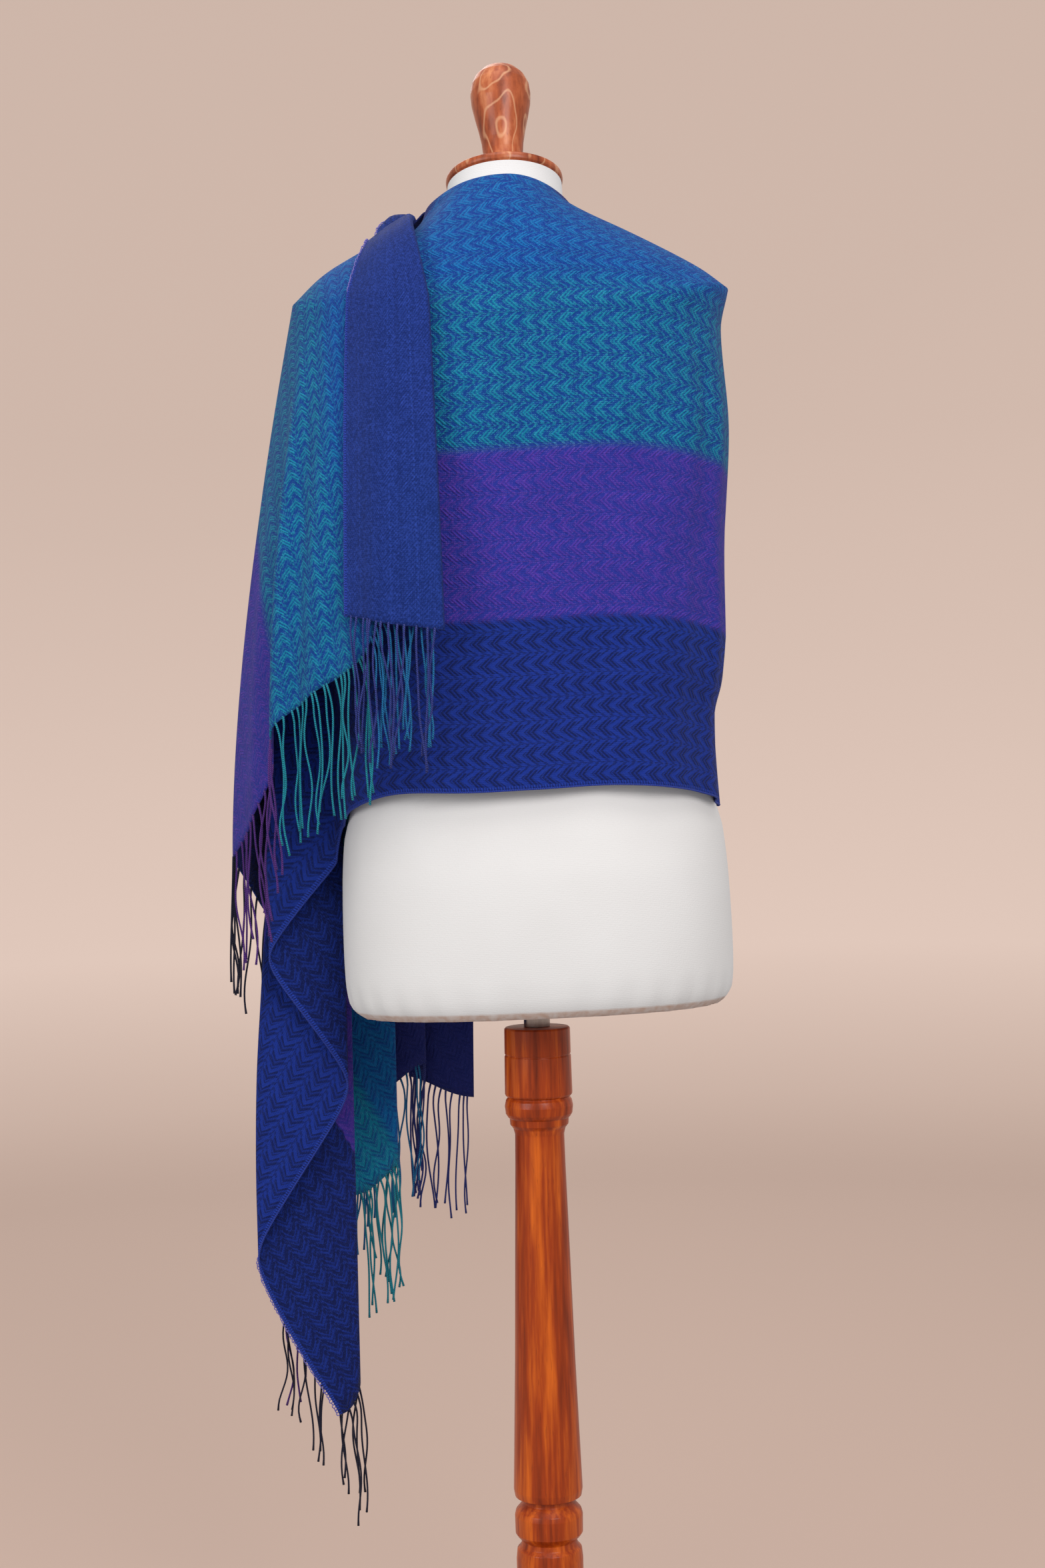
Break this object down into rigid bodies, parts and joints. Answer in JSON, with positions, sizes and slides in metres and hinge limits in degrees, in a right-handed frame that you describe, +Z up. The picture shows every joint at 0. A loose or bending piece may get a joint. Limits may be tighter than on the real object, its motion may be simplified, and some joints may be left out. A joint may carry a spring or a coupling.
{
  "type": "fringed shawl on a dress form",
  "caption": "Long woven shawl with fringed ends, wrapped round a limbless padded dress form on a turned wooden stand, one end thrown over the left shoulder.",
  "frame": {"origin": "centre of the stand's round base, on its underside", "axes": "+Z up, +X towards the form's right shoulder, +Y towards the form's front"},
  "size_m": [0.4669, 0.38, 1.6212],
  "materials": {
    "shawl_cloth": "matt woven",
    "yarn_teal": "matt twisted yarn",
    "yarn_azure": "matt twisted yarn",
    "yarn_violet": "matt twisted yarn",
    "yarn_purple": "matt twisted yarn",
    "yarn_navy": "matt twisted yarn",
    "form_cover": "smooth jersey",
    "turned_wood": "satin varnish",
    "steel_rod": "satin"
  },
  "bodies": {
    "root": {"back_panel": "shawl_cloth", "folded_edge": "shawl_cloth", "form_body": "form_cover", "fringe_fall_azure": "yarn_azure", "fringe_fall_purple": "yarn_purple", "fringe_fall_teal": "yarn_teal", "fringe_fold_violet": "yarn_violet", "fringe_front_navy": "yarn_navy", "fringe_inner_azure": "yarn_azure", "fringe_inner_teal": "yarn_teal", "fringe_inner_violet": "yarn_violet", "fringe_outer_azure": "yarn_azure", "fringe_outer_teal": "yarn_teal", "fringe_outer_violet": "yarn_violet", "fringe_side_navy": "yarn_navy", "fringe_side_purple": "yarn_purple", "fringe_tip_navy": "yarn_navy", "front_panel": "shawl_cloth", "hanging_end": "shawl_cloth", "neck_cap": "turned_wood", "right_wrap": "shawl_cloth", "shoulder_fall": "shawl_cloth", "stand_base": "turned_wood", "stand_post": "turned_wood", "stand_rod": "steel_rod"}
  },
  "joints": []
}
